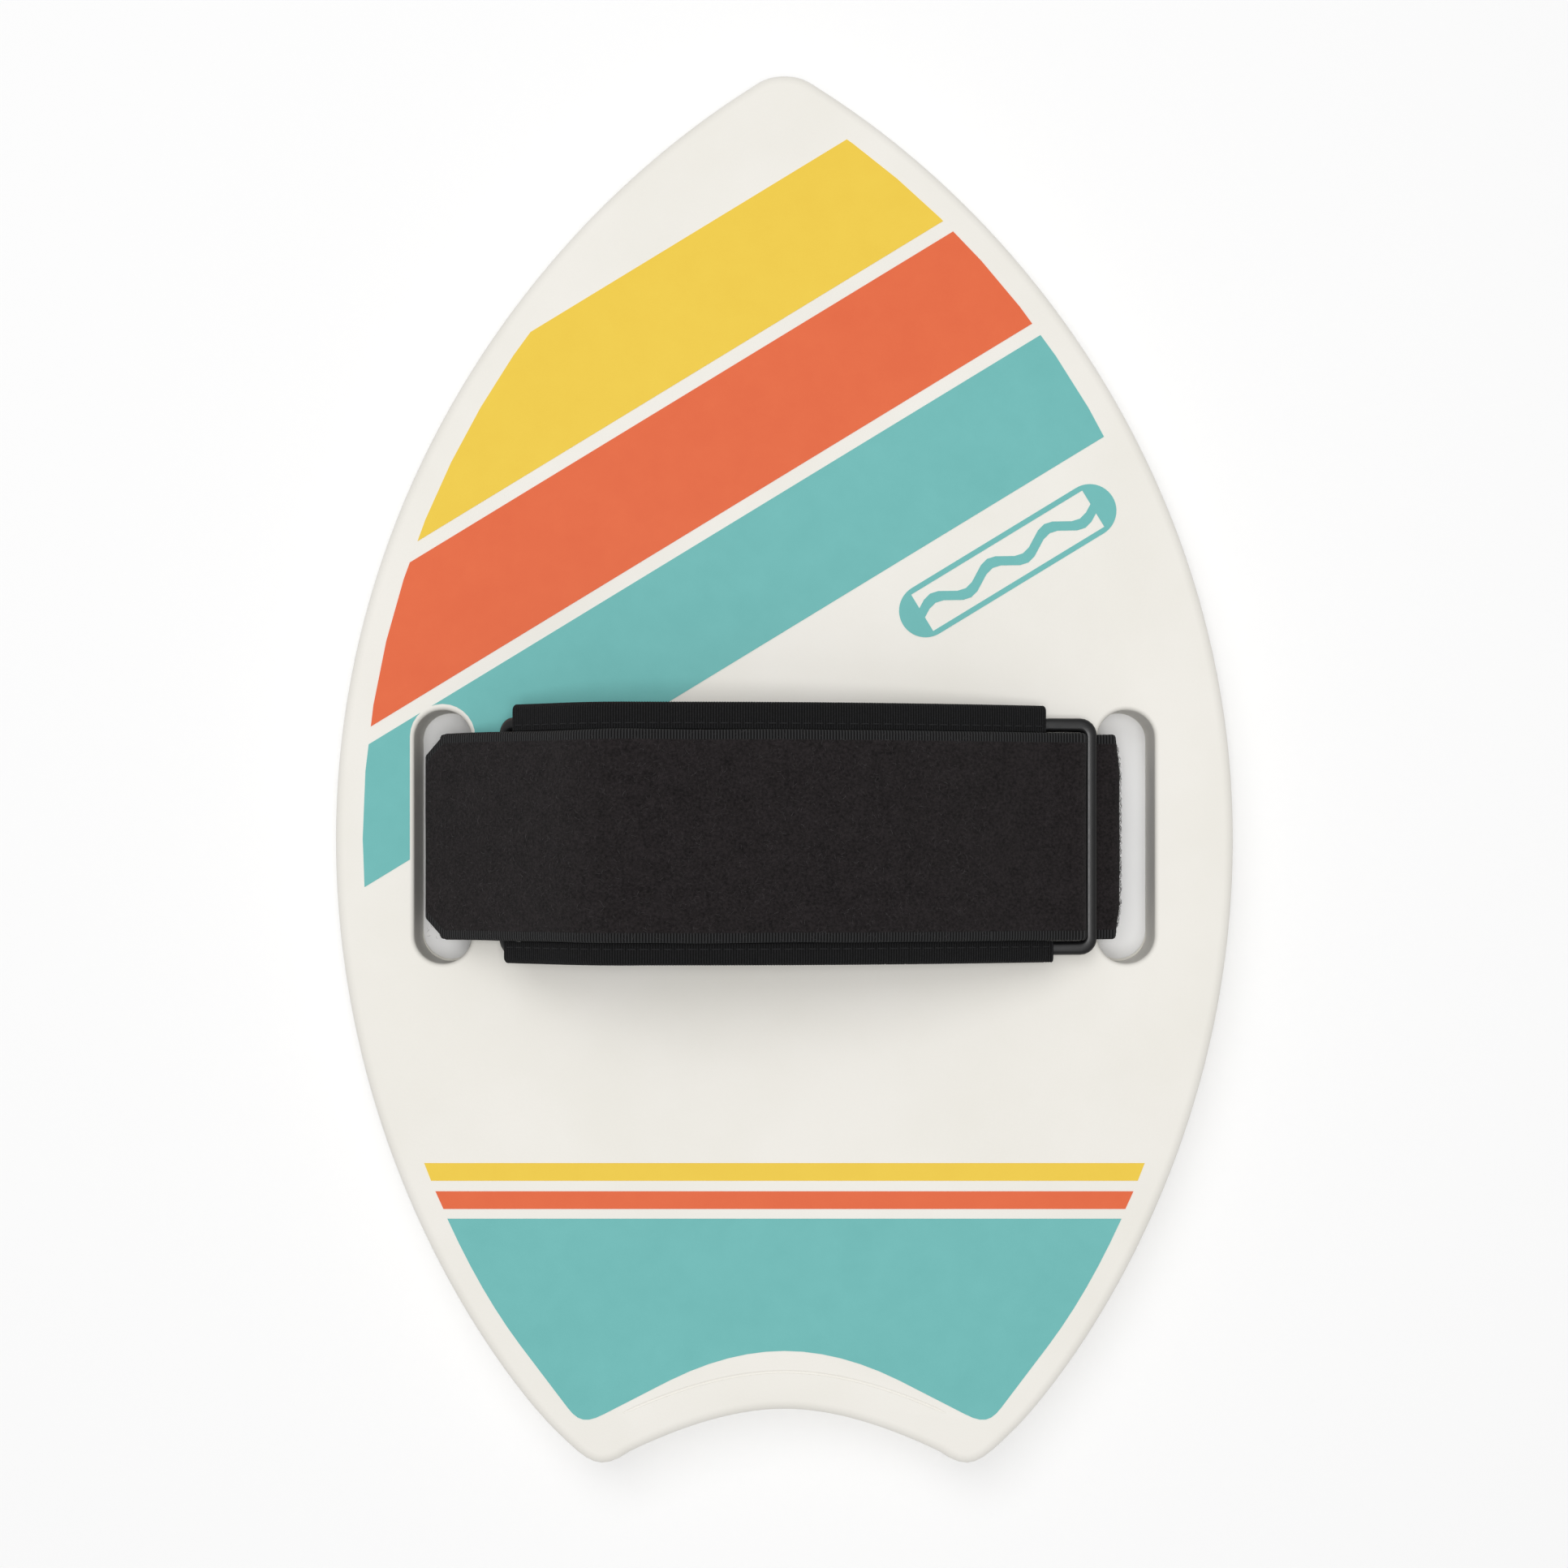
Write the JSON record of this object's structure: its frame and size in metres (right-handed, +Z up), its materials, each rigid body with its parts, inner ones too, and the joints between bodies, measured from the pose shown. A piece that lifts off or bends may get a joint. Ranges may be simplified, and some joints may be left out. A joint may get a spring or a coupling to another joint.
{
  "type": "bodysurfing hand board",
  "caption": "Small foam hand board for bodysurfing: pointed nose, swallow tail, striped deck, two slots and a padded hand strap closed by hook-and-loop tape.",
  "frame": {"origin": "under the middle of the board, on the plane it lies on", "axes": "+Z up out of the deck, +Y towards the nose, +X to the right seen from above with the nose up"},
  "size_m": [0.22, 0.34, 0.0537],
  "materials": {
    "core_foam": "closed-cell foam, matt",
    "deck_skin": "satin moulded foam skin",
    "slick": "smooth polyethylene sheet",
    "print_yellow": "printed film, satin",
    "print_orange": "printed film, satin",
    "print_teal": "printed film, satin",
    "strap_black": "brushed loop laminate",
    "hook": "moulded hook tape",
    "ring_plastic": "moulded acetal, satin",
    "pad_fabric": "knitted loop fabric",
    "pad_foam": "soft foam",
    "tape": "ribbed grosgrain tape"
  },
  "bodies": {
    "board": {"board_core": "core_foam", "deck_skin": "deck_skin", "bottom_skin": "slick", "stripe_yellow": "print_yellow", "stripe_orange": "print_orange", "stripe_teal": "print_teal", "stripe_teal_outboard": "print_teal", "tail_line_yellow": "print_yellow", "tail_line_orange": "print_orange", "tail_panel_teal": "print_teal", "emblem": "print_teal", "strap_under_run": "strap_black"},
    "hand_strap": {"strap_leg_left": "strap_black", "strap_anchor_loop": "strap_black", "strap_leg_right": "strap_black", "strap_thread": "strap_black", "left_ring": "ring_plastic", "pad_lining": "pad_fabric", "pad_top_cover": "pad_fabric", "pad_foam": "pad_foam", "pad_tab_left": "tape", "pad_tab_right": "tape", "pad_binding_front": "tape", "pad_binding_rear": "tape"},
    "right_ring": {"right_ring": "ring_plastic"},
    "tail_root": {"tail_root": "strap_black"},
    "tail_end": {"tail_end": "strap_black", "hook_patch": "hook"}
  },
  "joints": [
    {"name": "strap_lift", "type": "slide", "parent": "board", "child": "hand_strap", "axis": [0, 0, 1], "range_m": [0, 0.015]},
    {"name": "right_ring_swing", "type": "hinge", "parent": "hand_strap", "child": "right_ring", "pos_m": [0.06136, -0.0165, 0.02614], "axis": [0, -1, 0], "range_deg": [0, 8]},
    {"name": "tail_peel", "type": "hinge", "parent": "hand_strap", "child": "tail_root", "pos_m": [0.0721, -0.0165, 0.0293], "axis": [0, 1, 0], "range_deg": [0, 90]},
    {"name": "tail_fold", "type": "hinge", "parent": "tail_root", "child": "tail_end", "pos_m": [-0.00118, -0.0165, 0.05136], "axis": [0, 1, 0], "range_deg": [0, 80]}
  ]
}
